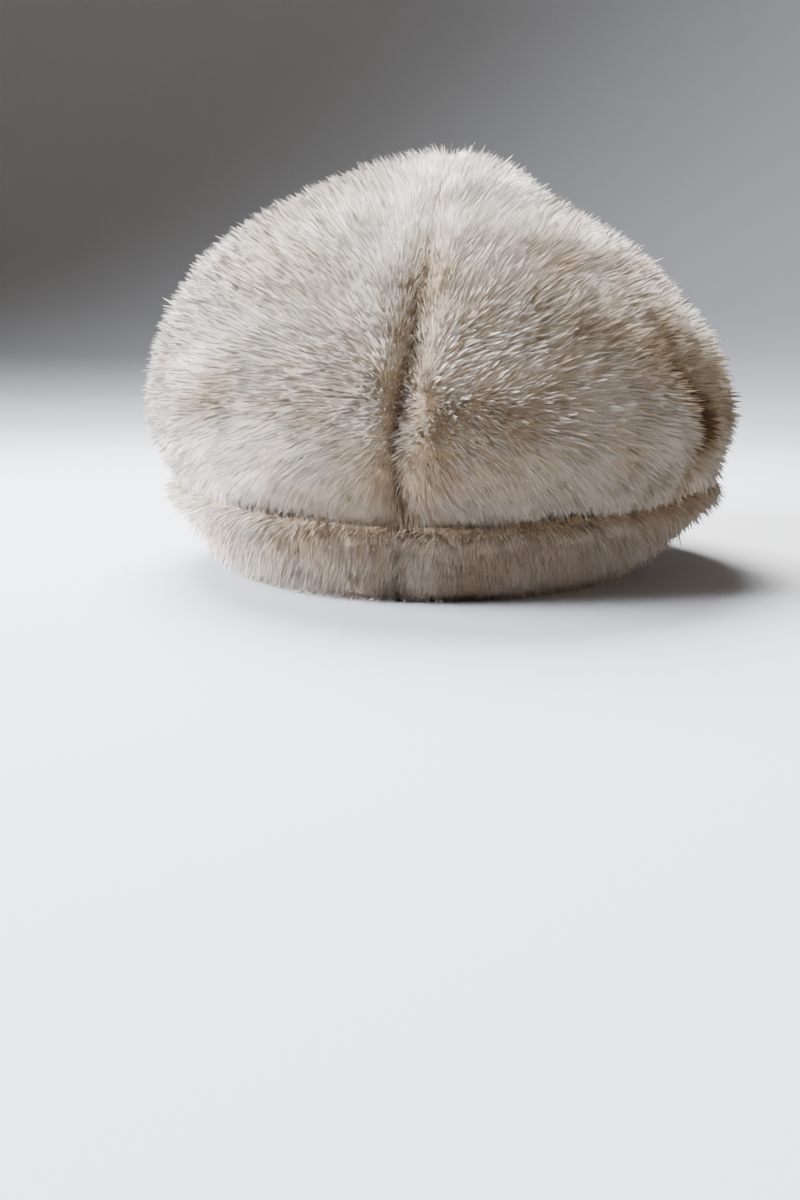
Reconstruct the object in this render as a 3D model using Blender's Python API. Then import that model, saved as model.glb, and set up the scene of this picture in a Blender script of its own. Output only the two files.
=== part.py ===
"""Fur cap: a crown of six sewn panels over a rolled band.

Units are metres, and +Z is up. The cap stands on its rim, its back faces -Y and its wearer
would face +Y. Angles go round the cap in degrees from its back, positive towards +X.
"""

from collections import namedtuple
from math import cos, exp, hypot, pi, radians, sin

import bmesh
import bpy
from mathutils import Vector

# Head opening at the rim, for a head about 58 cm round
HEAD_WIDTH = 0.168
HEAD_LENGTH = 0.198

# Rolled rim, measured out from the head opening at the sides and at the front and back
RIM_SIDE = 0.029
RIM_END = 0.023
RIM_ROUNDING = 0.006

# Band, which leans out from the rim up to its seam with the crown
BAND_HEIGHT_BACK = 0.038
BAND_HEIGHT_SIDE = 0.049
BAND_HEIGHT_FRONT = 0.042
BAND_FLARE_SIDE = 0.031
BAND_FLARE_END = 0.014
BAND_SEAM_DEPTH_BACK = 0.005
BAND_SEAM_DEPTH_SIDE = 0.002
BAND_BACK_SEAM_DEPTH = 0.003

# Crown, measured from the floor and out from the seam with the band
CAP_HEIGHT = 0.208
CROWN_BULGE_SIDE = 0.007
CROWN_BULGE_END = 0.015
CROWN_WALL = 0.011
CROWN_PUFF = 0.0025
CROWN_SEAM_DEPTH = 0.004
CROWN_SEAM_HALF_WIDTH = 0.006
APEX_LEAN = 0.012
SEAM_LEAN = 0.007

# Shares of the rise over which the panel seams fade out and the leans set in
SEAM_FADE_SHARE = 0.3
APEX_LEAN_SHARE = 0.2
SEAM_LEAN_SHARE = 0.3

# Slant of the panel seams: their turn round the cap at the band and at the top, in degrees
SEAM_SWEEP_LOW = -2.7
SEAM_SWEEP_TOP = 6.9

# Clearance between neighbouring pieces
PIECE_GAP = 0.0003

# Mesh steps
CROWN_ROWS = 20
BAND_COLUMNS = 72
NORMAL_STEP = 0.1
SHARP_EDGE_DEGREES = 50.0
MERGE_DISTANCE = 0.00001

# Fur tones, linear
FUR_ROUGHNESS = 0.9
PALE_FUR = (0.52, 0.47, 0.41, 1.0)
MIDDLE_FUR = (0.42, 0.36, 0.30, 1.0)
BROWN_FUR = (0.30, 0.24, 0.19, 1.0)

Panel = namedtuple("Panel", "name start end colour")

PANELS = (
    Panel("crown_panel_back_right", 0.0, 62.0, MIDDLE_FUR),
    Panel("crown_panel_side_right", 62.0, 121.0, MIDDLE_FUR),
    Panel("crown_panel_front_right", 121.0, 180.0, MIDDLE_FUR),
    Panel("crown_panel_front_left", 180.0, 239.0, PALE_FUR),
    Panel("crown_panel_side_left", 239.0, 298.0, PALE_FUR),
    Panel("crown_panel_back_left", 298.0, 360.0, PALE_FUR),
)

# Places of a panel's columns as shares of its angle, closer beside the seams
PANEL_COLUMNS = (0.0, 0.045, 0.11, 0.22, 0.36, 0.5, 0.64, 0.78, 0.89, 0.955, 1.0)

# Crown from its top to the band seam. The radius is crown times the crown's own oval plus seam
# times the seam's oval. The height is up times the rise from the seam to the top.
CrownRow = namedtuple("CrownRow", "crown seam up")

CROWN_PROFILE = (
    CrownRow(0.00, 0.00, 1.000),
    CrownRow(0.18, 0.00, 0.988),
    CrownRow(0.34, 0.00, 0.940),
    CrownRow(0.48, 0.00, 0.866),
    CrownRow(0.62, 0.00, 0.785),
    CrownRow(0.76, 0.00, 0.678),
    CrownRow(0.87, 0.00, 0.540),
    CrownRow(0.95, 0.00, 0.395),
    CrownRow(0.99, 0.00, 0.265),
    CrownRow(1.00, 0.00, 0.180),
    CrownRow(0.98, 0.00, 0.105),
    CrownRow(0.66, 0.33, 0.045),
    CrownRow(0.22, 0.77, 0.010),
    CrownRow(0.00, 1.00, 0.000),
)

# Soft bulges and dents of the crown: where each is, how far it reaches in degrees and in
# shares of the rise, and its push as a share of the wall, outward if positive
Dent = namedtuple("Dent", "angle up angle_reach up_reach push")

CROWN_DENTS = (
    Dent(-80.0, 0.93, 50.0, 0.08, -0.15),
    Dent(-80.0, 0.62, 50.0, 0.25, 0.10),
    Dent(80.0, 0.95, 50.0, 0.05, -1.50),
    Dent(80.0, 0.85, 45.0, 0.10, -0.85),
    Dent(80.0, 0.66, 45.0, 0.14, -0.50),
    Dent(80.0, 0.16, 50.0, 0.18, 0.45),
    Dent(-80.0, 0.22, 50.0, 0.18, -0.10),
    Dent(52.0, 0.45, 6.0, 0.08, -0.35),
    Dent(58.0, 0.36, 6.0, 0.08, -0.45),
    Dent(64.0, 0.24, 6.0, 0.08, -0.45),
    Dent(-34.0, 0.30, 9.0, 0.08, -0.40),
    Dent(-12.0, 0.05, 9.0, 0.06, -0.20),
    Dent(-22.0, 0.14, 9.0, 0.06, -0.25),
    Dent(-32.0, 0.21, 9.0, 0.06, -0.25),
    Dent(-26.0, 0.05, 16.0, 0.06, 0.30),
)

# Band section, from its seam with the crown down its outside, across the rolled foot and up
# its inside. The radius is outer shares of the flare past the rim, or inner shares of the
# way from the head opening to the wall's inside at the seam.
BandRow = namedtuple("BandRow", "side share up")

BAND_PROFILE = (
    BandRow("outer", 1.00, 1.00),
    BandRow("outer", 1.04, 0.90),
    BandRow("outer", 0.96, 0.74),
    BandRow("outer", 0.78, 0.54),
    BandRow("outer", 0.55, 0.36),
    BandRow("outer", 0.30, 0.20),
    BandRow("outer", 0.06, 0.08),
    BandRow("foot", 1.00, 0.00),
    BandRow("foot", 0.00, 0.00),
    BandRow("inner", 0.00, 0.10),
    BandRow("inner", 0.02, 0.30),
    BandRow("inner", 0.20, 0.52),
    BandRow("inner", 0.60, 0.78),
    BandRow("inner", 1.00, 1.00),
)


def remove_scene_objects():
    """Empty the scene that the cap is built in."""
    for item in list(bpy.data.objects):
        bpy.data.objects.remove(item, do_unlink=True)


def oval(angle, half_width, half_depth):
    """Radius of an oval at an angle from the back."""
    turn = radians(angle)
    return 1.0 / hypot(sin(turn) / half_width, cos(turn) / half_depth)


def head_radius(angle):
    """Radius of the head opening."""
    return oval(angle, HEAD_WIDTH / 2, HEAD_LENGTH / 2)


def rim_radius(angle):
    """Outer radius of the rolled rim."""
    return oval(angle, HEAD_WIDTH / 2 + RIM_SIDE, HEAD_LENGTH / 2 + RIM_END)


def seam_radius(angle):
    """Outer radius of the band and of the crown where they are sewn together."""
    half_width = HEAD_WIDTH / 2 + RIM_SIDE + BAND_FLARE_SIDE
    half_depth = HEAD_LENGTH / 2 + RIM_END + BAND_FLARE_END
    return oval(angle, half_width, half_depth)


def crown_radius(angle):
    """Outer radius of the crown at its widest."""
    half_width = HEAD_WIDTH / 2 + RIM_SIDE + BAND_FLARE_SIDE + CROWN_BULGE_SIDE
    half_depth = HEAD_LENGTH / 2 + RIM_END + BAND_FLARE_END + CROWN_BULGE_END
    return oval(angle, half_width, half_depth)


def seam_depth(angle):
    """Depth of the groove where band and crown are sewn together, shallower at the sides."""
    deeper = BAND_SEAM_DEPTH_BACK - BAND_SEAM_DEPTH_SIDE
    return BAND_SEAM_DEPTH_SIDE + deeper * cos(radians(angle)) ** 2


def seam_height(angle):
    """Height of the seam between band and crown, lowest at the back and highest at the sides."""
    turn = radians(angle)
    end = BAND_HEIGHT_BACK if cos(turn) > 0 else BAND_HEIGHT_FRONT
    return BAND_HEIGHT_SIDE + (end - BAND_HEIGHT_SIDE) * cos(turn) ** 2


def angle_between(first, second):
    """Smallest turn from one angle to another, in degrees."""
    return (first - second + 180.0) % 360.0 - 180.0


def smooth_value(values, place):
    """Value of a smooth curve through evenly spaced values, at a place counted in steps."""
    last = len(values) - 1
    start = min(int(place), last - 1)
    step = place - start
    before = values[max(start - 1, 0)]
    here = values[start]
    after = values[start + 1]
    beyond = values[min(start + 2, last)]
    rise_here = (after - before) / 2
    rise_after = (beyond - here) / 2
    square = step * step
    cube = square * step
    return (
        here * (2 * cube - 3 * square + 1)
        + rise_here * (cube - 2 * square + step)
        + after * (3 * square - 2 * cube)
        + rise_after * (cube - square)
    )


def rise_share(place):
    """Height share at a place down the crown, from 1 at its top to 0 at the band."""
    return smooth_value([row.up for row in CROWN_PROFILE], place)


def panel_angle(panel, share, up):
    """Angle of a place on a panel, whose seams slant round the cap a little as they rise."""
    sweep = SEAM_SWEEP_LOW + (SEAM_SWEEP_TOP - SEAM_SWEEP_LOW) * up
    return panel.start + share * (panel.end - panel.start) + sweep


def crown_section(angle, place):
    """Radius and height of the crown's plain section at a place down it."""
    crown = smooth_value([row.crown for row in CROWN_PROFILE], place)
    seam = smooth_value([row.seam for row in CROWN_PROFILE], place)
    up = rise_share(place)
    radius = crown * crown_radius(angle) + seam * (seam_radius(angle) - seam_depth(angle))
    base = seam_height(angle)
    return radius, base + up * (CAP_HEIGHT - base)


def section_normal(angle, place):
    """Outward direction of the crown's section, level at the seam so that it sits on the band."""
    last = len(CROWN_PROFILE) - 1
    if place >= last:
        return 1.0, 0.0
    if place <= 0:
        return 0.0, 1.0
    radius_before, height_before = crown_section(angle, max(place - NORMAL_STEP, 0))
    radius_after, height_after = crown_section(angle, min(place + NORMAL_STEP, last))
    along = radius_after - radius_before
    down = height_before - height_after
    length = hypot(along, down)
    return down / length, along / length


def soft_push(angle, up, share):
    """Outward push of the panel's puff and of the crown's bulges and dents."""
    fade = sin(pi * min(max(up, 0.0), 1.0)) ** 0.5
    push = CROWN_PUFF * sin(pi * share) * fade
    for dent in CROWN_DENTS:
        turn = angle_between(angle, dent.angle) / dent.angle_reach
        rise = (up - dent.up) / dent.up_reach
        push += dent.push * CROWN_WALL * fade * exp(-turn * turn - rise * rise)
    return push


def seam_groove(radius, up, panel, share):
    """Depth of the groove that a panel's fur leaves along its two seams, none at the top."""
    width = radians(panel.end - panel.start) * radius
    from_seam = min(share, 1.0 - share) * width
    fade = min(1.0, (1.0 - up) / SEAM_FADE_SHARE)
    return CROWN_SEAM_DEPTH * fade * exp(-((from_seam / CROWN_SEAM_HALF_WIDTH) ** 2))


def crown_point(panel, share, place, inside):
    """Point on the outside or the inside of a panel."""
    up = rise_share(place)
    angle = panel_angle(panel, share, up)
    radius, height = crown_section(angle, place)
    out, rise = section_normal(angle, place)
    push = soft_push(angle, up, share)
    if inside:
        push -= CROWN_WALL
    elif 0 < place < len(CROWN_PROFILE) - 1:
        push -= seam_groove(radius, up, panel, share)
    radius += push * out
    height += push * rise
    lean = APEX_LEAN * max(0.0, 1.0 - (1.0 - up) / APEX_LEAN_SHARE) ** 2
    lean += SEAM_LEAN * max(0.0, 1.0 - up / SEAM_LEAN_SHARE) ** 2
    turn = radians(angle)
    return Vector((radius * sin(turn) + lean, -radius * cos(turn), height + PIECE_GAP))


def band_point(angle, row):
    """Point of the band's section at an angle."""
    height = seam_height(angle) * row.up
    rim = rim_radius(angle)
    head = head_radius(angle)
    top = seam_radius(angle) - seam_depth(angle)
    if row.side == "outer":
        radius = rim + row.share * (seam_radius(angle) - rim)
        if row.up == 1.0:
            radius = top
    elif row.side == "foot":
        foot_inside = head + RIM_ROUNDING
        radius = foot_inside + row.share * (rim - RIM_ROUNDING - foot_inside)
    else:
        radius = head + row.share * (top - CROWN_WALL - head)
    if row.side == "outer" and 0.0 < row.up < 1.0:
        from_seam = radians(angle_between(angle, SEAM_SWEEP_LOW)) * radius
        radius -= BAND_BACK_SEAM_DEPTH * exp(-((from_seam / CROWN_SEAM_HALF_WIDTH) ** 2))
    turn = radians(angle)
    lean = SEAM_LEAN * row.up
    return Vector((radius * sin(turn) + lean, -radius * cos(turn), height))


def grid_steps(vertices, columns, rows):
    """Pair each vertex of a new grid, 2 wide and deep, with its column and row."""
    return [
        (vertex, (round((vertex.co.x + 1) / 2 * columns), round((vertex.co.y + 1) / 2 * rows)))
        for vertex in vertices
    ]


def build_panel(panel):
    """One crown panel: a grid laid on the crown, given its wall by an extrusion inwards."""
    columns = len(PANEL_COLUMNS) - 1
    mesh = bmesh.new()
    bmesh.ops.create_grid(mesh, x_segments=columns, y_segments=CROWN_ROWS, size=1.0)
    outer = list(mesh.verts)
    grown = bmesh.ops.extrude_face_region(mesh, geom=list(mesh.faces), use_keep_orig=True)
    inner = [item for item in grown["geom"] if isinstance(item, bmesh.types.BMVert)]
    for vertices, inside in ((outer, False), (inner, True)):
        for vertex, (column, row) in grid_steps(vertices, columns, CROWN_ROWS):
            place = row / CROWN_ROWS * (len(CROWN_PROFILE) - 1)
            vertex.co = crown_point(panel, PANEL_COLUMNS[column], place, inside)
    middle = radians((panel.start + panel.end) / 2)
    half_angle = radians((panel.end - panel.start) / 2)
    apart = PIECE_GAP / 2 / sin(half_angle)
    away = Vector((sin(middle) * apart, -cos(middle) * apart, 0.0))
    bmesh.ops.translate(mesh, verts=mesh.verts, vec=away)
    return finish_mesh(mesh, panel.name)


def build_band():
    """The band: a grid wrapped round the head opening and round its own section."""
    rows = len(BAND_PROFILE)
    mesh = bmesh.new()
    bmesh.ops.create_grid(mesh, x_segments=BAND_COLUMNS, y_segments=rows, size=1.0)
    for vertex, (column, row) in grid_steps(mesh.verts, BAND_COLUMNS, rows):
        angle = 360.0 * column / BAND_COLUMNS + SEAM_SWEEP_LOW
        vertex.co = band_point(angle, BAND_PROFILE[row % rows])
    return finish_mesh(mesh, "band")


def finish_mesh(mesh, name):
    """Close a mesh, point its faces outwards and hand it on as mesh data."""
    bmesh.ops.remove_doubles(mesh, verts=mesh.verts, dist=MERGE_DISTANCE)
    bmesh.ops.dissolve_degenerate(mesh, edges=mesh.edges, dist=MERGE_DISTANCE)
    bmesh.ops.triangulate(mesh, faces=mesh.faces)
    bmesh.ops.recalc_face_normals(mesh, faces=mesh.faces)
    data = bpy.data.meshes.new(name)
    mesh.to_mesh(data)
    mesh.free()
    data.shade_smooth()
    data.set_sharp_from_angle(angle=radians(SHARP_EDGE_DEGREES))
    return data


def fur_material(name, colour):
    """Dull fur of one tone."""
    material = bpy.data.materials.new(name)
    material.use_nodes = True
    shader = material.node_tree.nodes["Principled BSDF"]
    shader.inputs["Base Color"].default_value = colour
    shader.inputs["Roughness"].default_value = FUR_ROUGHNESS
    shader.inputs["Metallic"].default_value = 0.0
    material.diffuse_color = colour
    return material


def place_middle(meshes):
    """Offset that puts the origin under the middle of the finished cap."""
    across = [vertex.co.x for data in meshes for vertex in data.vertices]
    along = [vertex.co.y for data in meshes for vertex in data.vertices]
    middle_x = (min(across) + max(across)) / 2
    middle_y = (min(along) + max(along)) / 2
    return Vector((-middle_x, -middle_y, 0.0))


def main():
    """Build the cap's pieces and gather them under one empty."""
    remove_scene_objects()
    collection = bpy.data.collections.new("fur_cap")
    bpy.context.scene.collection.children.link(collection)
    cap = bpy.data.objects.new("cap", None)
    collection.objects.link(cap)

    pieces = [(build_panel(panel), panel.colour) for panel in PANELS]
    pieces.append((build_band(), BROWN_FUR))
    offset = place_middle([data for data, _ in pieces])
    for data, colour in pieces:
        data.materials.append(fur_material(data.name + "_fur", colour))
        piece = bpy.data.objects.new(data.name, data)
        piece.parent = cap
        piece.location = offset
        collection.objects.link(piece)


main()
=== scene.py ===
"""Looks of a fur cap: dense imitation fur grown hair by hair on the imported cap's own form.

Each crown panel and the band get two pieces: a cloth that carries the pile and faces the
head with a knitted back, and the pile itself, whose hairs are slim tapering blades.
"""

import logging
import math
from dataclasses import dataclass, field
from enum import Enum

import bmesh
import bpy
import numpy as np
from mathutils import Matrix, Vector
from mathutils.kdtree import KDTree


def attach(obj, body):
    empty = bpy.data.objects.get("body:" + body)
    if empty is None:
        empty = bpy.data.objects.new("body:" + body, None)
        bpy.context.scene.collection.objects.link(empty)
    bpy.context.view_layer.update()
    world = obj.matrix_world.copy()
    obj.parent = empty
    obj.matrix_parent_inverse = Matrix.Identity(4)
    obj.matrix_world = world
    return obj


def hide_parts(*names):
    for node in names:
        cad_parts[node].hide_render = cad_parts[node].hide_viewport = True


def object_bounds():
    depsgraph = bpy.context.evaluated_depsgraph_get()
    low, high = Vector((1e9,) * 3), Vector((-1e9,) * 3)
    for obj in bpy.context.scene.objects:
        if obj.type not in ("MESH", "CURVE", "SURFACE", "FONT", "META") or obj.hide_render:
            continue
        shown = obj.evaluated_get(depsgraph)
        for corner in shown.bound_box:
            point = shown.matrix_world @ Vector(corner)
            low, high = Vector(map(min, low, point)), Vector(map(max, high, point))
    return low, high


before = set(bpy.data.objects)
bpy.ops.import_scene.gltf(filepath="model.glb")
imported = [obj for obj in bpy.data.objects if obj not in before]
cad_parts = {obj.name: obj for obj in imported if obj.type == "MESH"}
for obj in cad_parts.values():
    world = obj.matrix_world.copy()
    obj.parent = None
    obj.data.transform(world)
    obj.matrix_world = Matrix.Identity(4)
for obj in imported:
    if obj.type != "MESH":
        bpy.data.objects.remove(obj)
CAD_LOW, CAD_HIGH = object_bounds()

MM = 0.001
BODY = "root"

# The band's back seam: its place across the cap at the floor, and its slant above that
BACK_SEAM_FOOT = -8.3 * MM
BACK_SEAM_SLOPE = 0.163

# Middle of the space for the head, and of the opening in the band
HEAD_MIDDLE = Vector((0.0, 0.0, 85 * MM))
BAND_MIDDLE = Vector((0.0, 0.0, 20 * MM))

# Least values that lengths are divided by, so that none is zero
TINY = 1e-12
LEAST_GAP = 1e-6

# Seeds of the piles: the first panel's, and the band's
CROWN_SEED = 11
BAND_SEED = 31

IMAGE_WIDTH = 800
IMAGE_HEIGHT = 1200

log = logging.getLogger("fur_cap")


class Region(Enum):
    """Where on the cap a stretch of fur cloth is sewn."""

    CROWN = "crown"
    BAND = "band"


def linear(hex_colour: str) -> tuple[float, float, float, float]:
    """Turn an sRGB hex colour into linear red, green, blue and alpha.

    Args:
        hex_colour: six hex digits after a hash mark.

    Returns:
        The colour as Blender's sockets take it.
    """
    parts = [int(hex_colour[at : at + 2], 16) / 255 for at in (1, 3, 5)]
    steps = [c / 12.92 if c <= 0.04045 else ((c + 0.055) / 1.055) ** 2.4 for c in parts]
    return (steps[0], steps[1], steps[2], 1.0)


def add_node(
    material: bpy.types.Material,
    kind: str,
    settings: dict | None = None,
    values: dict | None = None,
    links: dict | None = None,
) -> bpy.types.Node:
    """Add one shader node with its settings, socket values and incoming links.

    Args:
        material: the material that gets the node.
        kind: the node's type name.
        settings: properties of the node itself.
        values: constant values by input name or number.
        links: output sockets by the input that they feed.

    Returns:
        The new node.
    """
    node = material.node_tree.nodes.new(kind)
    for name, value in (settings or {}).items():
        setattr(node, name, value)
    for name, value in (values or {}).items():
        node.inputs[name].default_value = value
    for name, socket in (links or {}).items():
        material.node_tree.links.new(socket, node.inputs[name])
    return node


def new_material(name: str) -> tuple[bpy.types.Material, bpy.types.Node]:
    """Start a node material.

    Args:
        name: the material's name.

    Returns:
        The material and its Principled shader.
    """
    material = bpy.data.materials.new(name)
    material.use_nodes = True
    return material, material.node_tree.nodes["Principled BSDF"]


def fill_ramp(node: bpy.types.Node, stops: list[tuple[float, str]]) -> None:
    """Set a colour ramp's stops.

    Args:
        node: the ColorRamp node.
        stops: position and sRGB hex colour of each stop, in order.
    """
    ramp = node.color_ramp
    while len(ramp.elements) < len(stops):
        ramp.elements.new(0.5)
    for element, (position, colour) in zip(ramp.elements, stops):
        element.position = position
        element.color = linear(colour)


@dataclass(frozen=True)
class PileFinish:
    """Acrylic pile: brown under-fur that fades to pale, softly glossy tips."""

    name: str
    deepest: str
    root: str
    middle: str
    tip: str
    pale_tip: str
    root_at: float = 0.22
    middle_at: float = 0.52
    pale_at: float = 0.55
    tip_at: float = 0.90
    patch_size: float = 38 * MM
    patch_strength: float = 0.14
    roughness: float = 0.7
    gloss: float = 0.15
    sheen: float = 0.1
    sheen_roughness: float = 0.5
    let_through: float = 0.52

    def material(self) -> bpy.types.Material:
        """Build the pile's material.

        The hair's own attributes say how far along it a place is, its tone and how deep in
        the pile it looks, with painted shade and painted light. Thin acrylic fibres let about as
        much light through as they send back, which is what makes such fur look soft.

        Returns:
            The material.
        """
        material, shader = new_material(self.name)
        along = add_node(material, "ShaderNodeAttribute", {"attribute_name": "along"})
        tone = add_node(material, "ShaderNodeAttribute", {"attribute_name": "tone"})
        depth_and_painted_light = add_node(material, "ShaderNodeAttribute", {"attribute_name": "depth_and_painted_light"})
        place = add_node(material, "ShaderNodeTexCoord")
        patches = add_node(
            material,
            "ShaderNodeTexNoise",
            values={"Scale": 1 / self.patch_size, "Detail": 2.0, "Roughness": 0.5},
            links={"Vector": place.outputs["Object"]},
        )
        patch_shift = add_node(
            material,
            "ShaderNodeMapRange",
            values={
                "From Min": 0.35,
                "From Max": 0.65,
                "To Min": -self.patch_strength,
                "To Max": self.patch_strength,
            },
            links={"Value": patches.outputs["Fac"]},
        )
        height = add_node(
            material,
            "ShaderNodeMath",
            {"operation": "ADD"},
            links={0: along.outputs["Fac"], 1: patch_shift.outputs["Result"]},
        )
        lower = add_node(
            material,
            "ShaderNodeMath",
            {"operation": "SUBTRACT"},
            links={0: height.outputs[0], 1: depth_and_painted_light.outputs["Fac"]},
        )
        dark = add_node(material, "ShaderNodeValToRGB", links={"Fac": lower.outputs[0]})
        low = [(0.0, self.deepest), (self.root_at, self.root)]
        fill_ramp(dark, [*low, (self.middle_at, self.middle), (self.tip_at, self.tip)])
        pale = add_node(material, "ShaderNodeValToRGB", links={"Fac": lower.outputs[0]})
        fill_ramp(pale, [*low, (self.pale_at, self.tip), (self.tip_at, self.pale_tip)])
        blend = add_node(
            material,
            "ShaderNodeMix",
            {"data_type": "RGBA"},
            links={
                "Factor": tone.outputs["Fac"],
                "A": dark.outputs["Color"],
                "B": pale.outputs["Color"],
            },
        )
        lay = add_node(material, "ShaderNodeAttribute", {"attribute_name": "lay"})
        links = material.node_tree.links
        links.new(blend.outputs["Result"], shader.inputs["Base Color"])
        links.new(lay.outputs["Vector"], shader.inputs["Normal"])
        through = add_node(
            material, "ShaderNodeBsdfTranslucent", links={"Color": blend.outputs["Result"]}
        )
        both = add_node(
            material,
            "ShaderNodeMixShader",
            values={"Fac": self.let_through},
            links={1: shader.outputs["BSDF"], 2: through.outputs["BSDF"]},
        )
        end = material.node_tree.nodes["Material Output"]
        links.new(both.outputs["Shader"], end.inputs["Surface"])
        shader.inputs["Roughness"].default_value = self.roughness
        shader.inputs["Specular IOR Level"].default_value = self.gloss
        shader.inputs["Sheen Weight"].default_value = self.sheen
        shader.inputs["Sheen Roughness"].default_value = self.sheen_roughness
        return material


@dataclass(frozen=True)
class UnderFurFinish:
    """Dense matt under-fur at the roots, which gives the fur its brown depth.

    It is darkest in the seams: its own dark where a seam parts the pile, and painted shade in the
    groove where crown meets band.
    """

    name: str
    parted: str
    colour: str
    light: str
    tuft: float = 2.2 * MM
    tuft_rise: float = 1.0 * MM
    roughness: float = 0.95

    def material(self) -> bpy.types.Material:
        """Build the under-fur's material.

        Returns:
            The material.
        """
        material, shader = new_material(self.name)
        place = add_node(material, "ShaderNodeTexCoord")
        tufts = add_node(
            material,
            "ShaderNodeTexNoise",
            values={"Scale": 1 / self.tuft, "Detail": 3.0, "Roughness": 0.6},
            links={"Vector": place.outputs["Object"]},
        )
        ramp = add_node(material, "ShaderNodeValToRGB", links={"Fac": tufts.outputs["Fac"]})
        fill_ramp(ramp, [(0.35, self.colour), (0.70, self.light)])
        sewn = add_node(material, "ShaderNodeAttribute", {"attribute_name": "sewn"})
        shade = add_node(
            material,
            "ShaderNodeMix",
            {"data_type": "RGBA"},
            values={"B": linear(self.parted)},
            links={"Factor": sewn.outputs["Fac"], "A": ramp.outputs["Color"]},
        )
        bump = add_node(
            material,
            "ShaderNodeBump",
            values={"Strength": 0.8, "Distance": self.tuft_rise},
            links={"Height": tufts.outputs["Fac"]},
        )
        links = material.node_tree.links
        links.new(shade.outputs["Result"], shader.inputs["Base Color"])
        links.new(bump.outputs["Normal"], shader.inputs["Normal"])
        shader.inputs["Roughness"].default_value = self.roughness
        return material


@dataclass(frozen=True)
class KnitBackFinish:
    """Knitted backing cloth of the fur, seen inside: dull greige, with fine loops in columns."""

    name: str
    colour: str
    shade: str
    loop: float = 1.6 * MM
    loop_rise: float = 0.4 * MM
    wear_size: float = 18 * MM
    roughness: float = 0.85
    sheen: float = 0.2

    def material(self) -> bpy.types.Material:
        """Build the backing's material.

        Returns:
            The material.
        """
        material, shader = new_material(self.name)
        place = add_node(material, "ShaderNodeTexCoord")
        loops = add_node(
            material,
            "ShaderNodeTexVoronoi",
            values={"Scale": 1 / self.loop, "Randomness": 0.35},
            links={"Vector": place.outputs["Object"]},
        )
        wear = add_node(
            material,
            "ShaderNodeTexNoise",
            values={"Scale": 1 / self.wear_size, "Detail": 3.0},
            links={"Vector": place.outputs["Object"]},
        )
        ramp = add_node(material, "ShaderNodeValToRGB", links={"Fac": wear.outputs["Fac"]})
        fill_ramp(ramp, [(0.35, self.shade), (0.65, self.colour)])
        bump = add_node(
            material,
            "ShaderNodeBump",
            values={"Strength": 0.6, "Distance": self.loop_rise},
            links={"Height": loops.outputs["Distance"]},
        )
        links = material.node_tree.links
        links.new(ramp.outputs["Color"], shader.inputs["Base Color"])
        links.new(bump.outputs["Normal"], shader.inputs["Normal"])
        shader.inputs["Roughness"].default_value = self.roughness
        shader.inputs["Sheen Weight"].default_value = self.sheen
        return material


@dataclass(frozen=True)
class FloorFinish:
    """Matt painted board, which looks pale and even and mirrors nothing."""

    name: str
    colour: str
    roughness: float = 0.8
    gloss: float = 0.2

    def material(self) -> bpy.types.Material:
        """Build the floor's material.

        Returns:
            The material.
        """
        material, shader = new_material(self.name)
        shader.inputs["Base Color"].default_value = linear(self.colour)
        shader.inputs["Roughness"].default_value = self.roughness
        shader.inputs["Specular IOR Level"].default_value = self.gloss
        return material


@dataclass
class Surface:
    """A face of a fur cloth, as arrays that hairs are rooted on.

    Seams are the ends of each sewn edge, marks say how plainly it parts the pile, and covers
    how far the pile closes over it. On a lying surface the hairs lie flat.
    """

    corners: np.ndarray
    normals: np.ndarray
    seams: np.ndarray
    marks: np.ndarray
    covers: np.ndarray
    lying: bool = False
    rounding: float = 0.6

    @property
    def areas(self) -> np.ndarray:
        """Area of each triangle."""
        first = self.corners[:, 1] - self.corners[:, 0]
        second = self.corners[:, 2] - self.corners[:, 0]
        return np.linalg.norm(np.cross(first, second), axis=1) / 2

    def scatter(self, count: int, rng: np.random.Generator) -> tuple[np.ndarray, np.ndarray]:
        """Spread points evenly over the surface.

        Args:
            count: how many points.
            rng: seeded source of chance.

        Returns:
            The points, rounded out between the corners' normals, and their normals.
        """
        share = self.areas / self.areas.sum()
        face = rng.choice(len(share), size=count, p=share)
        one, two = rng.random(count), rng.random(count)
        fold = one + two > 1
        one[fold], two[fold] = 1 - one[fold], 1 - two[fold]
        weights = np.stack([1 - one - two, one, two], axis=1)[:, :, None]
        corners = self.corners[face]
        normals = self.normals[face]
        flat = (corners * weights).sum(axis=1)
        normal = unit((normals * weights).sum(axis=1))
        lifted = flat[:, None, :] - corners
        depth = (lifted * normals).sum(axis=2, keepdims=True)
        rounded = ((flat[:, None, :] - depth * normals) * weights).sum(axis=1)
        return (1 - self.rounding) * flat + self.rounding * rounded, normal

    def from_seams(
        self, points: np.ndarray, strengths: np.ndarray, reach: float
    ) -> tuple[np.ndarray, np.ndarray]:
        """Measure how strongly the seams act on the pile.

        Args:
            points: places on the surface.
            strengths: how strongly each seam edge acts, from 0 to 1.
            reach: how far from a seam it still acts.

        Returns:
            A share from 0, undisturbed, to 1, and the direction away from the seam.
        """
        best = np.zeros(len(points))
        away = np.zeros_like(points)
        for (start, end), strength in zip(self.seams, strengths):
            along = end - start
            share = ((points - start) @ along) / max(float(along @ along), TINY)
            gap = points - (start + np.clip(share, 0, 1)[:, None] * along)
            distance = np.linalg.norm(gap, axis=1)
            act = strength * np.clip(1 - distance / reach, 0, 1)
            stronger = act > best
            best[stronger] = act[stronger]
            away[stronger] = gap[stronger] / np.maximum(distance[stronger], LEAST_GAP)[:, None]
        return best, away


def unit(vectors: np.ndarray) -> np.ndarray:
    """Scale vectors to length one.

    Args:
        vectors: the vectors, along the last axis.

    Returns:
        The scaled vectors.
    """
    return vectors / np.maximum(np.linalg.norm(vectors, axis=-1, keepdims=True), TINY)


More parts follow.
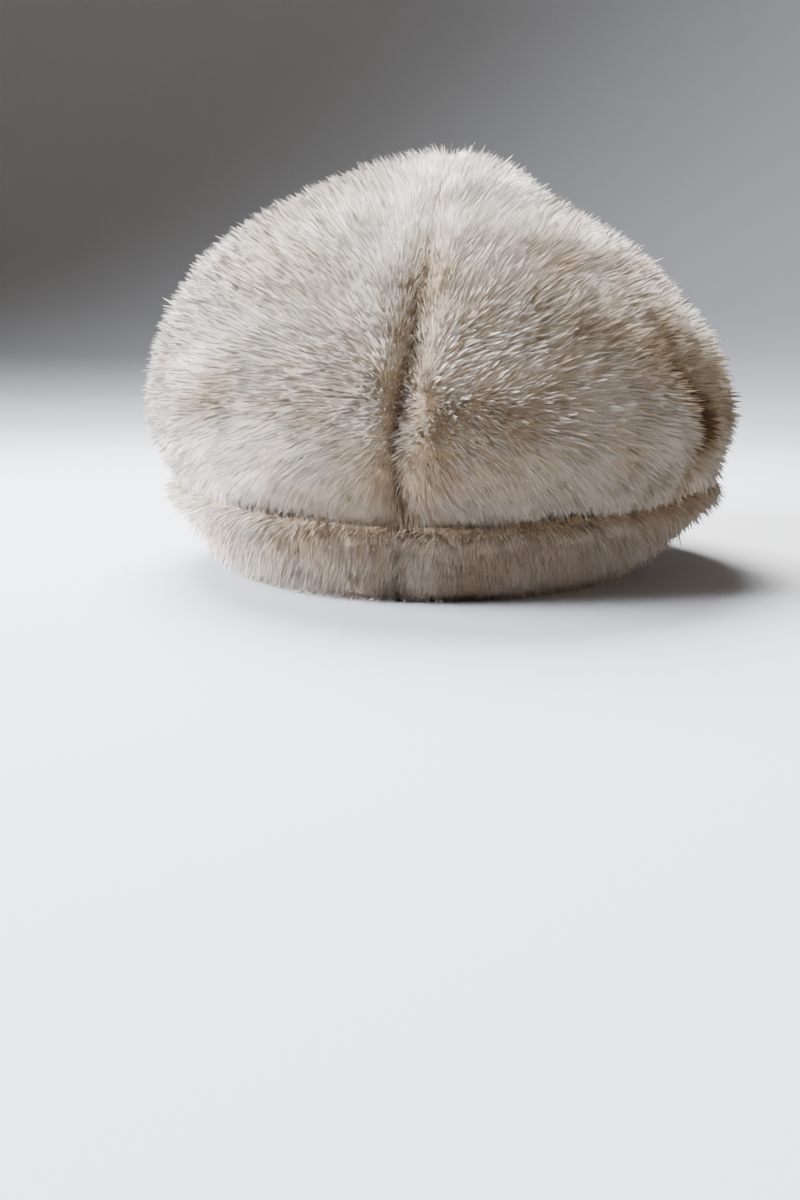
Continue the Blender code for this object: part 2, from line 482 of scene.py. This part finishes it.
def around(points: np.ndarray) -> np.ndarray:
    """Find the level direction round the cap at each point.

    Args:
        points: places on the cap.

    Returns:
        A unit vector for each.
    """
    return unit(np.stack([-points[:, 1], points[:, 0], np.zeros(len(points))], axis=1))


def downhill(normals: np.ndarray) -> np.ndarray:
    """Find the direction down the surface at each normal.

    Args:
        normals: the surface's unit normals.

    Returns:
        A unit vector along the surface for each.
    """
    down = np.zeros_like(normals)
    down[:, 2] = -1.0
    return unit(down - (down * normals).sum(axis=1, keepdims=True) * normals)


@dataclass(frozen=True)
class PaintedLightSpot:
    """A place where the pile is painted darker or paler: painted shade and painted light, in the
    crease and the dimple partly the browner depth of the parted pile.

    Its place and its reach are in millimetres.
    """

    x: float
    y: float
    z: float
    reach: float
    # Painted shade where positive, painted light where negative
    depth: float

    def shade(self, points: np.ndarray) -> np.ndarray:
        """Tell how much painted shade, or painted light if negative, the pile gets at each point.

        Args:
            points: roots of hairs, in metres.

        Returns:
            The spot's share of the painted shade and light at each.
        """
        gap = points - np.array([self.x, self.y, self.z]) * MM
        return self.depth * np.exp(-(gap**2).sum(axis=1) / (self.reach * MM) ** 2)


PAINTED_LIGHT_SPOTS = (
    # The crease down the right of the back, partly browner parted pile and partly painted shade of
    # the fold, and painted shade on the right flank
    PaintedLightSpot(104, -94, 111, 10, 0.50),
    PaintedLightSpot(117, -82, 98, 14, 0.72),
    PaintedLightSpot(130, -67, 84, 13, 0.72),
    PaintedLightSpot(133, -66, 73, 11, 0.50),
    PaintedLightSpot(120, -74, 124, 18, 0.36),
    PaintedLightSpot(145, -30, 100, 34, 0.38),
    # Darker low on the back seam, paler either side of it higher up
    PaintedLightSpot(0, -142, 58, 26, 0.28),
    PaintedLightSpot(-13, -142, 86, 15, -0.22),
    PaintedLightSpot(19, -142, 82, 16, -0.24),
    # The dimple on the left, partly browner pile and partly painted shade, and painted light on
    # the fur round it
    PaintedLightSpot(-89, -119, 95, 14, 0.42),
    PaintedLightSpot(-98, -107, 117, 22, -0.22),
    PaintedLightSpot(-90, -119, 60, 22, -0.18),
    # Darker patches on the right panel
    PaintedLightSpot(64, -97, 154, 20, 0.20),
    PaintedLightSpot(22, -133, 126, 18, 0.24),
    PaintedLightSpot(95, -110, 125, 22, 0.22),
    # The band right of its seam
    PaintedLightSpot(14, -135, 34, 11, 0.10),
    PaintedLightSpot(35, -132, 31, 13, 0.08),
    PaintedLightSpot(72, -118, 28, 22, -0.14),
    # Painted light on the crown's roll over the band and on its top
    PaintedLightSpot(81, -125, 54, 12, -0.16),
    PaintedLightSpot(107, -107, 66, 12, -0.16),
    PaintedLightSpot(14, -70, 187, 34, -0.20),
)


@dataclass
class Strands:
    """One set of hairs: where each starts, ends and faces, its tone, and how deep it looks with
    its painted shade and painted light.

    Kinked hairs have a knee and a drooping tip.
    """

    low: np.ndarray
    tips: np.ndarray
    normals: np.ndarray
    width: float
    kinked: bool
    tone: np.ndarray
    depth_and_painted_light: np.ndarray


@dataclass
class Pile:
    """Sizes of the pile and how its hairs lie.

    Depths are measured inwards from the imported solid's face, densities are hairs to a square
    millimetre, and leans are shares of a hair's length.
    """

    region: Region
    seed: int

    # Where the hairs start, where the cloth lies, and where it lies in a parted seam
    depth: float = 8.4 * MM
    cloth_depth: float = 5.6 * MM
    edge_depth: float = 4.2 * MM

    # The short under-fur and the longer, finer guard hairs
    under_length: float = 8.2 * MM
    under_spread: float = 0.13
    under_width: float = 0.175 * MM
    under_density: float = 4.0
    guard_length: float = 11.0 * MM
    guard_spread: float = 0.15
    guard_width: float = 0.10 * MM
    guard_density: float = 0.30
    widest: float = 0.56
    guard_droop: float = 0.08

    # Hairs that lie flat under the rolled rim
    foot_density: float = 2.0
    foot_lift: float = 3.0 * MM
    foot_stray: float = 0.35
    foot_rise: float = 0.25
    floor_gap: float = 0.5 * MM

    # Tufts, and how far hairs stray from them
    clump_spacing: float = 2.8 * MM
    clump_pull: float = 0.08
    clump_pull_least: float = 0.4
    clump_pull_most: float = 1.4
    stray_lean: float = 0.16
    hair_stray: float = 0.6

    # The nap leads away from the middle of the back, and down from the top in front
    nap_lean: float = 0.65
    nap_aside: float = 11 * MM
    nap_along: float = 45 * MM
    nap_height: float = 85 * MM
    nap_turn: float = 80 * MM
    down_lean: float = 0.08
    crown_low_lean: float = 0.35
    crown_low_top: float = 75 * MM
    crown_low_span: float = 45 * MM
    band_high_ease: float = 0.6
    band_high_foot: float = 26 * MM
    band_high_span: float = 16 * MM

    # Slow waves in the lay
    wave_count: int = 10
    wave_seed: int = 7
    wave_shortest: float = 16 * MM
    wave_longest: float = 60 * MM
    wave_phase: float = 6.28
    wave_lean: float = 0.09

    # What a parted seam does to the hairs beside it
    seam_reach: float = 5.0 * MM
    seam_trim: float = 0.22
    seam_calm: float = 0.5
    seam_part: float = 0.05
    seam_hold: float = 0.6
    seam_shade: float = 0.65

    # How the pile closes over a hidden seam
    cover_reach: float = 12.0 * MM
    cover_lean: float = 0.95
    cover_growth: float = 0.15
    cover_lift: float = 0.6
    # Painted light on the pile over a hidden seam, against the shade in its groove
    cover_painted_light: float = 0.12

    # Each hair's tone, from its tuft and its own
    tone_least: float = 0.15
    tone_clump: float = 0.25
    tone_hair: float = 0.28
    tone_guard: float = 0.2

    # How far blades turn from facing outwards, and how unevenly they take the light
    twist: float = 0.16
    ruffle: float = 0.15
    rng: np.random.Generator = field(init=False)

    def __post_init__(self) -> None:
        """Seed this pile's chance."""
        self.rng = np.random.default_rng(self.seed)

    def lean(self, points: np.ndarray, normals: np.ndarray) -> np.ndarray:
        """Find the direction in which the hairs are brushed at each root.

        Args:
            points: the roots.
            normals: the surface's normals there.

        Returns:
            A lean along the surface, as a share of the hair's length.
        """
        down = downhill(normals)
        from_middle = points * np.array([1.0, 0.0, 1.0])
        forward = np.clip(points[:, 1] / self.nap_turn, 0, 1)
        from_middle[:, 2] -= self.nap_height + (CAD_HIGH[2] - self.nap_height) * forward
        spans = np.array([self.nap_aside, 1.0, self.nap_along])
        nap = from_middle / np.hypot(from_middle, spans)
        nap /= np.maximum(np.linalg.norm(nap, axis=1, keepdims=True), 1.0)
        nap *= self.nap_lean
        amount = np.full(len(points), self.down_lean)
        if self.region is Region.CROWN:
            low = np.clip((self.crown_low_top - points[:, 2]) / self.crown_low_span, 0, 1)
            amount = amount + self.crown_low_lean * low
        else:
            high = np.clip((points[:, 2] - self.band_high_foot) / self.band_high_span, 0, 1)
            amount = amount * (1 - self.band_high_ease * high)
        brushed = nap + self.swirl(points)
        brushed -= (brushed * normals).sum(axis=1, keepdims=True) * normals
        return down * amount[:, None] + brushed

    def swirl(self, points: np.ndarray) -> np.ndarray:
        """Let the pile's lay wander gently, by a few seeded waves.

        Args:
            points: the roots.

        Returns:
            A lean that is added at each.
        """
        waves = np.random.default_rng(self.wave_seed)
        total = np.zeros_like(points)
        for _ in range(self.wave_count):
            length = waves.uniform(self.wave_shortest, self.wave_longest)
            direction = unit(waves.normal(size=3)) * (2 * math.pi / length)
            push = unit(waves.normal(size=3)) * self.wave_lean
            total += np.sin(points @ direction + waves.uniform(0, self.wave_phase))[:, None] * push
        return total

    def grow(self, surfaces: list[Surface], name: str) -> bpy.types.Mesh:
        """Grow the whole pile of one cloth.

        Args:
            surfaces: the faces of the cloth that bear hairs.
            name: name of the new mesh.

        Returns:
            A joined mesh of all the hairs.
        """
        strands = []
        for surface in surfaces:
            strands += self.lie(surface) if surface.lying else self.stand(surface)
        return self.weave(strands, name)

    def lie(self, surface: Surface) -> list[Strands]:
        """Lay hairs flat under the rolled rim, brushed outwards.

        Args:
            surface: the flat foot of the band.

        Returns:
            One set of hairs.
        """
        count = int(surface.areas.sum() / MM**2 * self.foot_density)
        roots, normals = surface.scatter(count, self.rng)
        roots[:, 2] = self.foot_lift
        outward = unit(roots * np.array([1.0, 1.0, 0.0]))
        stray = self.foot_stray * self.rng.normal(size=roots.shape)
        own = unit(outward + stray + self.foot_rise * normals)
        tone = self.rng.random(count)
        tips = roots + own * self.under_length
        return [Strands(roots, tips, normals, self.under_width, False, tone, np.zeros(count))]

    def stand(self, surface: Surface) -> list[Strands]:
        """Stand the under-fur and the longer guard hairs on a face of the cloth.

        Args:
            surface: the face of the cloth.

        Returns:
            Two sets of hairs.
        """
        area = surface.areas.sum() / MM**2
        clump_count = int(area / (self.clump_spacing / MM) ** 2)
        clumps, clump_normals = surface.scatter(clump_count, self.rng)
        tree = KDTree(len(clumps))
        for number, clump in enumerate(clumps):
            tree.insert(clump, number)
        tree.balance()
        clump_lean = self.rng.normal(size=clumps.shape) * self.stray_lean
        clump_lean += self.lean(clumps, clump_normals)
        shared_way = unit(clump_normals + clump_lean)
        clump_low = clumps - clump_normals * self.depth
        clump_tone = self.rng.random(len(clumps))
        uneven = self.rng.uniform(self.clump_pull_least, self.clump_pull_most, len(clumps))
        clump_pull = self.clump_pull * uneven
        under = (self.under_density, self.under_length, self.under_spread, self.under_width, False)
        guard = (self.guard_density, self.guard_length, self.guard_spread, self.guard_width, True)
        strands = []
        for density, length, spread, width, kinked in (under, guard):
            count = int(area * density)
            roots, normals = surface.scatter(count, self.rng)
            owner = np.array([tree.find(root)[1] for root in roots])
            stray = self.rng.normal(size=roots.shape) * self.stray_lean * self.hair_stray
            near, away = surface.from_seams(roots, surface.marks, self.seam_reach)
            cover, _ = surface.from_seams(roots, surface.covers, self.cover_reach)
            lengths = length * (1 + spread * self.rng.normal(size=count))
            lengths *= (1 - self.seam_trim * near**2) * (1 + self.cover_growth * cover)
            away -= (away * normals).sum(axis=1, keepdims=True) * normals
            lean = self.lean(roots, normals) * (1 - self.seam_calm * near[:, None])
            lean += self.seam_part * near[:, None] * away
            lean += self.cover_lean * cover[:, None] * downhill(normals)
            own = unit(normals + lean + stray)
            across = around(roots)
            tilt = (normals * across).sum(axis=1, keepdims=True)
            upright = unit(normals - near[:, None] * tilt * across)
            low = roots - upright * (self.depth * (1 - self.cover_lift * cover))[:, None]
            tips = low + own * lengths[:, None]
            gathered = clump_low[owner] + shared_way[owner] * lengths[:, None]
            pull = (clump_pull[owner] * (1 - np.maximum(self.seam_hold * near, cover)))[:, None]
            tips = tips * (1 - pull) + gathered * pull
            tone = self.tone_least + self.tone_clump * clump_tone[owner]
            tone += self.tone_hair * self.rng.random(count)
            if kinked:
                tone += self.tone_guard
            # Darker beside a parted seam, painted light where the pile closes over a hidden seam,
            # and the spots' painted shade and light
            depth_and_painted_light = self.seam_shade * near**5 - self.cover_painted_light * cover
            for spot in PAINTED_LIGHT_SPOTS:
                depth_and_painted_light += spot.shade(roots)
            strands.append(Strands(low, tips, normals, width, kinked, np.clip(tone, 0, 1), depth_and_painted_light))
        return strands

    def weave(self, strands: list[Strands], name: str) -> bpy.types.Mesh:
        """Turn hairs into slim leaves that face outwards and join them into one mesh.

        Args:
            strands: sets of hairs.
            name: name of the new mesh.

        Returns:
            The joined mesh with its attributes.
        """
        points, along, tones, depths_and_painted_light, lays, faces = [], [], [], [], [], []
        start = 0
        for hairs in strands:
            count = len(hairs.low)
            hair = hairs.tips - hairs.low
            faced = hairs.normals + self.twist * self.rng.normal(size=hair.shape)
            side = unit(np.cross(hair, faced)) * hairs.width / 2
            facing_in = (np.cross(side, hair) * hairs.normals).sum(axis=1) < 0
            side[facing_in] *= -1
            knee = hairs.low + hair * self.widest
            if hairs.kinked:
                length = np.linalg.norm(hair, axis=1)[:, None]
                droop = downhill(hairs.normals) * length * self.guard_droop
                knee -= droop / 2
                rows = [hairs.low, knee + side, hairs.tips + droop, knee - side]
                shares = [0.0, self.widest, 1.0, self.widest]
                pattern = [(0, 1, 2), (0, 2, 3)]
            else:
                rows = [hairs.low, knee + side * 2, hairs.tips]
                shares = [0.0, self.widest, 1.0]
                pattern = [(0, 1, 2)]
            block = np.stack(rows, axis=1)
            each = len(rows)
            points.append(block.reshape(-1, 3))
            along.append(np.tile(shares, count))
            tones.append(np.repeat(hairs.tone, each))
            depths_and_painted_light.append(np.repeat(hairs.depth_and_painted_light, each))
            turned = unit(hairs.normals + self.ruffle * self.rng.normal(size=hair.shape))
            lays.append(np.repeat(turned, each, axis=0))
            base = start + np.arange(count)[:, None, None] * each
            faces.append((base + np.array(pattern)[None]).reshape(-1, 3))
            start += count * each
        all_points = np.concatenate(points)
        all_points[:, 2] = np.maximum(all_points[:, 2], self.floor_gap)
        return joined_mesh(
            name,
            all_points,
            np.concatenate(faces),
            {
                "along": np.concatenate(along),
                "tone": np.concatenate(tones),
                "depth_and_painted_light": np.concatenate(depths_and_painted_light),
            },
            np.concatenate(lays),
        )


def joined_mesh(
    name: str,
    points: np.ndarray,
    faces: np.ndarray,
    numbers: dict[str, np.ndarray],
    lays: np.ndarray,
) -> bpy.types.Mesh:
    """Fill a mesh from arrays.

    Args:
        name: the mesh's name.
        points: its vertices.
        faces: its triangles.
        numbers: one number a vertex for each named attribute.
        lays: the way that the pile faces at each vertex.

    Returns:
        The mesh.
    """
    data = bpy.data.meshes.new(name)
    data.vertices.add(len(points))
    data.vertices.foreach_set("co", points.astype(np.float32).ravel())
    data.loops.add(faces.size)
    data.loops.foreach_set("vertex_index", faces.astype(np.int32).ravel())
    data.polygons.add(len(faces))
    data.polygons.foreach_set("loop_start", np.arange(0, faces.size, 3, dtype=np.int32))
    data.update(calc_edges=True)
    for title, values in numbers.items():
        layer = data.attributes.new(title, "FLOAT", "POINT")
        layer.data.foreach_set("value", values.astype(np.float32))
    layer = data.attributes.new("lay", "FLOAT_VECTOR", "POINT")
    layer.data.foreach_set("vector", lays.astype(np.float32).ravel())
    return data


@dataclass
class FurCloth:
    """One sewn piece of fur cloth: its backing and its pile.

    The facing and running values say how much of a unit vector has to point out, down, in or
    round the cap for a face or an edge to count as such. Marks and shades run from 0 to 1.
    """

    node: str
    region: Region
    slot: str
    pile: Pile
    heart: Vector = field(default_factory=HEAD_MIDDLE.copy)
    merge_gap: float = 0.01 * MM
    facing_out: float = 0.3
    facing_down: float = -0.999
    facing_in: float = 0.5
    running_level: float = 0.7
    back_mark: float = 0.55
    back_mark_middle: float = 8 * MM
    back_mark_reach: float = 30 * MM
    band_mark: float = 0.6
    top_fade: float = 0.25
    cover_loss: float = 0.4
    # Painted shade of the under-fur in the groove where crown meets band
    level_seam_painted_shade: float = 0.8
    rim_top: float = 20 * MM
    back_seam_half: float = 1 * MM

    def cloth_mesh(self) -> bmesh.types.BMesh:
        """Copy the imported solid's form, with its loose triangles merged.

        Returns:
            The copy, which the caller frees.
        """
        mesh = bmesh.new()
        mesh.from_mesh(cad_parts[self.node].data)
        bmesh.ops.remove_doubles(mesh, verts=mesh.verts, dist=self.merge_gap)
        mesh.normal_update()
        return mesh

    def is_outside(self, face: bmesh.types.BMFace) -> bool:
        """Tell whether a face of the solid is one that the pile stands on.

        Args:
            face: a face of the merged solid.

        Returns:
            Whether it faces away from the heart and isn't the flat foot.
        """
        outward = (face.calc_center_median() - self.heart).normalized()
        return face.normal.z >= self.facing_down and face.normal.dot(outward) > self.facing_out

    def is_foot(self, face: bmesh.types.BMFace) -> bool:
        """Tell whether a face is the flat foot that the cap stands on."""
        return self.region is Region.BAND and face.normal.z < self.facing_down

    def is_level(self, edge: bmesh.types.BMEdge) -> bool:
        """Tell whether an edge runs round the cap, as the seam of crown and band does.

        Args:
            edge: an edge of the merged solid.

        Returns:
            Whether it runs nearly level.
        """
        start, end = (vertex.co for vertex in edge.verts)
        middle = (start + end) / 2
        level = Vector((-middle.y, middle.x, 0.0)).normalized()
        return abs((end - start).normalized().dot(level)) > self.running_level

    def seam_mark(self, edge: bmesh.types.BMEdge) -> float:
        """Tell how plainly a sewn edge parts the pile, from 0 to 1.

        The seams between panels fade out towards the top. The one between crown and band
        shows only beside the centre back, and elsewhere the pile closes over it.

        Args:
            edge: a sewn edge.

        Returns:
            The edge's mark.
        """
        middle = (edge.verts[0].co + edge.verts[1].co) / 2
        if self.is_level(edge):
            aside = (middle.x - self.back_mark_middle) / self.back_mark_reach
            return self.back_mark * math.exp(-(aside**4)) if middle.y < 0 else 0.0
        if self.region is Region.BAND:
            return self.band_mark
        fall = (CAD_HIGH[2] - middle.z) / (CAD_HIGH[2] - CAD_LOW[2])
        return min(1.0, fall / self.top_fade)

    def seam_cover(self, edge: bmesh.types.BMEdge) -> float:
        """Tell how far the pile closes over a sewn edge, from 0 to 1.

        Args:
            edge: a sewn edge.

        Returns:
            The edge's cover, none on a seam that runs up the cap.
        """
        if not self.is_level(edge):
            return 0.0
        return 1.0 - self.cover_loss * self.seam_mark(edge) / self.back_mark

    def is_seam(self, edge: bmesh.types.BMEdge, outside: set) -> bool:
        """Tell whether an edge of the outer face is sewn.

        Args:
            edge: an edge of the merged solid.
            outside: the faces that the pile grows on.

        Returns:
            Whether the edge lies on a seam.
        """
        ends = [vertex.co for vertex in edge.verts]
        borders = sum(face in outside for face in edge.link_faces)
        if self.region is Region.CROWN:
            return borders == 1
        beside = [abs(end.x - BACK_SEAM_FOOT - BACK_SEAM_SLOPE * end.z) for end in ends]
        back = ends[0].y < 0 and max(beside) < self.back_seam_half
        return (borders == 1 and ends[0].z > self.rim_top) or (borders == 2 and back)

    def surface(self, mesh: bmesh.types.BMesh, lying: bool = False) -> Surface:
        """Gather the outer face's or the foot's triangles, smooth normals and sewn edges.

        Args:
            mesh: the merged solid.
            lying: whether the foot is wanted, where the pile lies flat.

        Returns:
            The surface that hairs are rooted on.
        """
        wanted = self.is_foot if lying else self.is_outside
        outside = {face for face in mesh.faces if wanted(face)}
        normals: dict[int, Vector] = {}
        for face in mesh.faces:
            if face in outside:
                for vertex in face.verts:
                    held = normals.setdefault(vertex.index, Vector())
                    held += face.normal * face.calc_area()
        corners, corner_normals = [], []
        for face in mesh.faces:
            if face in outside:
                corners.append([vertex.co[:] for vertex in face.verts])
                smooth = [normals[vertex.index].normalized()[:] for vertex in face.verts]
                corner_normals.append(smooth)
        sewn = [] if lying else [edge for edge in mesh.edges if self.is_seam(edge, outside)]
        return Surface(
            np.array(corners),
            np.array(corner_normals),
            np.array([[vertex.co[:] for vertex in edge.verts] for edge in sewn]),
            np.array([self.seam_mark(edge) for edge in sewn]),
            np.array([self.seam_cover(edge) for edge in sewn]),
            lying,
        )

    def pull_in(self, mesh: bmesh.types.BMesh) -> None:
        """Sink the outer face into the pile and sort the faces between the two finishes.

        Sewn corners sink only within their seam's plane, so that neighbouring cloths still meet.

        Args:
            mesh: the merged solid.
        """
        sewn_layer = mesh.verts.layers.float.new("sewn")
        outside = {face for face in mesh.faces if self.is_outside(face)}
        foot = {vertex for face in mesh.faces if self.is_foot(face) for vertex in face.verts}
        sunk = self.pile.cloth_depth
        shift = {}
        for vertex in mesh.verts:
            linked = [face for face in vertex.link_faces if face in outside]
            if not linked:
                continue
            normal = sum((face.normal for face in linked), Vector()).normalized()
            sewn = [edge for edge in vertex.link_edges if self.is_seam(edge, outside)]
            level = any(self.is_level(edge) for edge in sewn)
            shown = 0.0
            if sewn:
                along = Vector((-vertex.co.y, vertex.co.x, 0.0)).normalized()
                normal -= normal.dot(along) * along
                if level:
                    normal.z = 0.0
                else:
                    shown = max(self.seam_mark(edge) for edge in sewn)
                normal.normalize()
            # The under-fur darkens by a parted seam's mark, and with painted shade all along the
            # level seam's groove
            vertex[sewn_layer] = self.level_seam_painted_shade if level else shown
            shift[vertex] = normal * (sunk + (self.pile.edge_depth - sunk) * shown)
        for vertex, step in shift.items():
            vertex.co -= step
        for vertex in foot:
            vertex.co.z = self.pile.foot_lift
        for face in mesh.faces:
            inward = (HEAD_MIDDLE - face.calc_center_median()).normalized()
            face.material_index = 1 if face.normal.dot(inward) > self.facing_in else 0
            face.smooth = True

    def build(self, finishes: dict[str, bpy.types.Material]) -> None:
        """Make the backing and the pile, and hide the imported solid.

        Args:
            finishes: the materials by name.
        """
        solid = self.cloth_mesh()
        surfaces = [self.surface(solid)]
        if self.region is Region.BAND:
            surfaces.append(self.surface(solid, lying=True))
        self.pull_in(solid)
        data = bpy.data.meshes.new(self.node + "_cloth")
        solid.to_mesh(data)
        solid.free()
        data.materials.append(finishes["under_fur"])
        data.materials.append(finishes["knit_back"])
        cloth = self.place(data)
        pile_data = self.pile.grow(surfaces, self.node + "_pile")
        pile_data.materials.append(finishes[f"{self.region.value}_pile"])
        pile = self.place(pile_data)
        log.info("%s: %d hair faces", self.node, len(pile.data.polygons))
        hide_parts(self.node)
        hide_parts(self.node)

    def place(self, data: bpy.types.Mesh) -> bpy.types.Object:
        """Show a mesh as a piece of the cap.

        Args:
            data: the finished mesh.

        Returns:
            Its object, at the origin.
        """
        piece = bpy.data.objects.new(data.name, data)
        bpy.context.scene.collection.objects.link(piece)
        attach(piece, BODY)
        return piece


@dataclass(frozen=True)
class SoftLight:
    """One square soft light: its place, side, watts, tint and beam in degrees."""

    name: str
    place: tuple[float, float, float]
    size: float
    power: float
    tint: str
    spread: float = 180.0


SOFT_LIGHTS = (
    SoftLight("key", (-1.45, -0.5, 0.7), 1.1, 180.0, "#E4ECFF", 110.0),
    SoftLight("top", (-0.45, 0.7, 1.45), 1.0, 160.0, "#F4F7FF", 110.0),
    SoftLight("fill", (1.2, -1.0, 0.6), 1.2, 7.5, "#FFE9D2"),
)


@dataclass
class Studio:
    """Pale floor, soft light and the camera, whose angles are in degrees."""

    aim_height: float = 0.1
    sky_colour: str = "#DDD2C2"
    sky_strength: float = 0.35
    floor_radius: float = 1.0
    floor_drop: float = 0.2 * MM
    sweep: float = 1.8
    sweep_steps: int = 12
    turn_steps: int = 72
    wall_height: float = 2.8
    sensor: float = 36.0
    nearest: float = 0.01
    focal_pixels: float = 1000.0
    distance: float = 0.56
    height: float = 0.103
    pitch: float = 13.0
    azimuth: float = 5.0
    axis_pixel: float = 436.0

    def build(self) -> None:
        """Set up everything that isn't part of the cap."""
        self.lay_floor()
        self.hang_lights()
        self.stand_camera()

    def lay_floor(self) -> None:
        """Lay a round floor just under the cap that sweeps up into a wall all round."""
        mesh = bmesh.new()
        profile = [(0.0, 0.0), (self.floor_radius, 0.0)]
        for step in range(1, self.sweep_steps + 1):
            turn = math.pi / 2 * step / self.sweep_steps
            out = self.floor_radius + self.sweep * math.sin(turn)
            profile.append((out, self.sweep * (1 - math.cos(turn))))
        profile.append((self.floor_radius + self.sweep, self.wall_height))
        line = [mesh.verts.new((out, 0.0, up - self.floor_drop)) for out, up in profile]
        edges = [mesh.edges.new(pair) for pair in zip(line, line[1:])]
        bmesh.ops.spin(
            mesh,
            geom=line + edges,
            cent=(0, 0, 0),
            axis=(0, 0, 1),
            angle=2 * math.pi,
            steps=self.turn_steps,
            use_merge=True,
        )
        bmesh.ops.remove_doubles(mesh, verts=mesh.verts, dist=0.1 * MM)
        for face in mesh.faces:
            face.smooth = True
        data = bpy.data.meshes.new("floor")
        mesh.to_mesh(data)
        mesh.free()
        data.materials.append(FloorFinish("matt_board", "#8F8E8C").material())
        floor = bpy.data.objects.new("floor", data)
        bpy.context.scene.collection.objects.link(floor)

    def hang_lights(self) -> None:
        """Hang the soft lights, brightest from the left and the top, under an even sky."""
        for light in SOFT_LIGHTS:
            self.add_light(light)
        world = bpy.data.worlds.new("soft_sky")
        bpy.context.scene.world = world
        world.use_nodes = True
        sky = world.node_tree.nodes["Background"]
        sky.inputs["Color"].default_value = linear(self.sky_colour)
        sky.inputs["Strength"].default_value = self.sky_strength

    def add_light(self, light: SoftLight) -> None:
        """Hang one soft light that faces the cap.

        Args:
            light: what it is and where it hangs.
        """
        data = bpy.data.lights.new(light.name, "AREA")
        data.size = light.size
        data.energy = light.power
        data.color = linear(light.tint)[:3]
        data.spread = math.radians(light.spread)
        lamp = bpy.data.objects.new(light.name, data)
        lamp.location = light.place
        aim = Vector((0, 0, self.aim_height)) - Vector(light.place)
        lamp.rotation_euler = aim.to_track_quat("-Z", "Y").to_euler()
        bpy.context.scene.collection.objects.link(lamp)

    def stand_camera(self) -> None:
        """Stand the camera at the photograph's angle, its lens as long."""
        data = bpy.data.cameras.new("camera")
        data.sensor_fit = "AUTO"
        data.sensor_width = self.sensor
        data.lens = self.sensor * self.focal_pixels / IMAGE_HEIGHT
        data.clip_start = self.nearest
        camera = bpy.data.objects.new("camera", data)
        turn = math.radians(self.azimuth)
        camera.location = (
            math.sin(turn) * self.distance,
            -math.cos(turn) * self.distance,
            self.height,
        )
        aside = math.atan((self.axis_pixel - IMAGE_WIDTH / 2) / self.focal_pixels)
        camera.rotation_euler = (math.radians(90 - self.pitch), 0.0, turn + aside)
        bpy.context.scene.collection.objects.link(camera)
        bpy.context.scene.camera = camera


def cap_pieces() -> list[FurCloth]:
    """List the cap's fur cloths, in sewing order.

    Returns:
        The six crown panels and the band.
    """
    places = [(place, side) for place in ("back", "side", "front") for side in ("left", "right")]
    pieces = []
    for number, (place, side) in enumerate(places):
        pile = Pile(Region.CROWN, CROWN_SEED + number)
        pieces.append(FurCloth(f"crown_panel_{place}_{side}", Region.CROWN, "crown_fur", pile))
    band_pile = Pile(
        Region.BAND,
        BAND_SEED,
        nap_lean=0.0,
        down_lean=0.55,
        cover_lean=0.90,
        under_density=3.1,
    )
    pieces.append(FurCloth("band", Region.BAND, "band_fur", band_pile, BAND_MIDDLE))
    return pieces


CAP_FINISHES = (
    PileFinish(
        name="crown_pile",
        deepest="#70573F",
        root="#B59C7C",
        middle="#C7B092",
        tip="#DACAB3",
        pale_tip="#EFE9E1",
    ),
    PileFinish(
        name="band_pile",
        deepest="#6C523A",
        root="#AE9474",
        middle="#BFA482",
        tip="#D2BFA6",
        pale_tip="#EBE3D9",
    ),
    # parted is the dark of parted seams, and also painted shade in the groove where crown meets
    # band
    UnderFurFinish(name="under_fur", parted="#5E4532", colour="#9E8666", light="#BDA585"),
    KnitBackFinish(name="knit_back", colour="#B7ABA0", shade="#A3968A"),
)


def main() -> None:
    """Build the cap piece by piece, then the studio."""
    logging.basicConfig(level=logging.INFO)
    finishes = {finish.name: finish.material() for finish in CAP_FINISHES}
    for piece in cap_pieces():
        piece.build(finishes)
    Studio().build()


if __name__ == "__main__":
    main()
